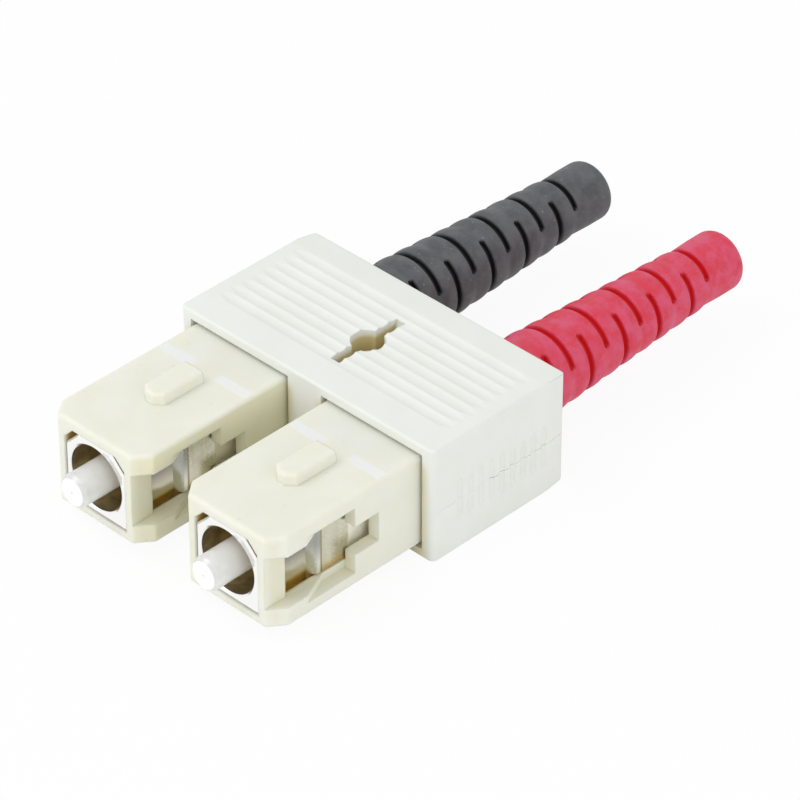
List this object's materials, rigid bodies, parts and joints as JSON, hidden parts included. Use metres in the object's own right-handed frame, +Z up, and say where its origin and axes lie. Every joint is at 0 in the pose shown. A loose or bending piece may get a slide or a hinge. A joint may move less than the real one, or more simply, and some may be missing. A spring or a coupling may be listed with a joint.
{
  "type": "duplex fibre connector",
  "caption": "Duplex push-pull fibre connector: keyed cream plugs with white ferrules in a ribbed off-white clip, with slotted strain-relief boots.",
  "frame": {"origin": "centre of the clip's flat underside", "axes": "+X across the two plugs towards the red boot, +Y back towards the boots, +Z up towards the keys"},
  "size_m": [0.0242, 0.0513, 0.0094],
  "materials": {
    "clip_plastic": "fine moulded, off-white",
    "housing_plastic": "fine moulded, cream",
    "plated_metal": "nickel plated",
    "ferrule_ceramic": "ground white ceramic",
    "turned_metal": "nickel-plated, turned",
    "tube_plastic": "clear white",
    "spring_steel": "drawn wire",
    "sleeve_metal": "satin",
    "black_rubber": "moulded, matt",
    "red_rubber": "moulded, matt"
  },
  "bodies": {
    "clip_and_housings": {"duplex_clip_upper": "clip_plastic", "duplex_clip_lower": "clip_plastic", "left_outer_housing": "housing_plastic", "right_outer_housing": "housing_plastic"},
    "left_plug": {"left_plug_frame": "plated_metal", "left_stop_body": "turned_metal", "left_crimp_sleeve": "sleeve_metal", "left_boot": "black_rubber", "left_spring": "spring_steel"},
    "left_ferrule_unit": {"left_ferrule": "ferrule_ceramic", "left_ferrule_flange": "turned_metal", "left_fibre_tube": "tube_plastic"},
    "right_plug": {"right_plug_frame": "plated_metal", "right_stop_body": "turned_metal", "right_crimp_sleeve": "sleeve_metal", "right_boot": "red_rubber", "right_spring": "spring_steel"},
    "right_ferrule_unit": {"right_ferrule": "ferrule_ceramic", "right_ferrule_flange": "turned_metal", "right_fibre_tube": "tube_plastic"}
  },
  "joints": [
    {"name": "left_plug_slide", "type": "slide", "parent": "clip_and_housings", "child": "left_plug", "axis": [0, -1, 0], "range_m": [0, 0.0018]},
    {"name": "left_ferrule_slide", "type": "slide", "parent": "left_plug", "child": "left_ferrule_unit", "axis": [0, 1, 0], "range_m": [0, 0.001], "stiffness_N_per_m": 2000, "deforming": ["left_spring"]},
    {"name": "right_plug_slide", "type": "slide", "parent": "clip_and_housings", "child": "right_plug", "axis": [0, -1, 0], "range_m": [0, 0.0018]},
    {"name": "right_ferrule_slide", "type": "slide", "parent": "right_plug", "child": "right_ferrule_unit", "axis": [0, 1, 0], "range_m": [0, 0.001], "stiffness_N_per_m": 2000, "deforming": ["right_spring"]}
  ]
}
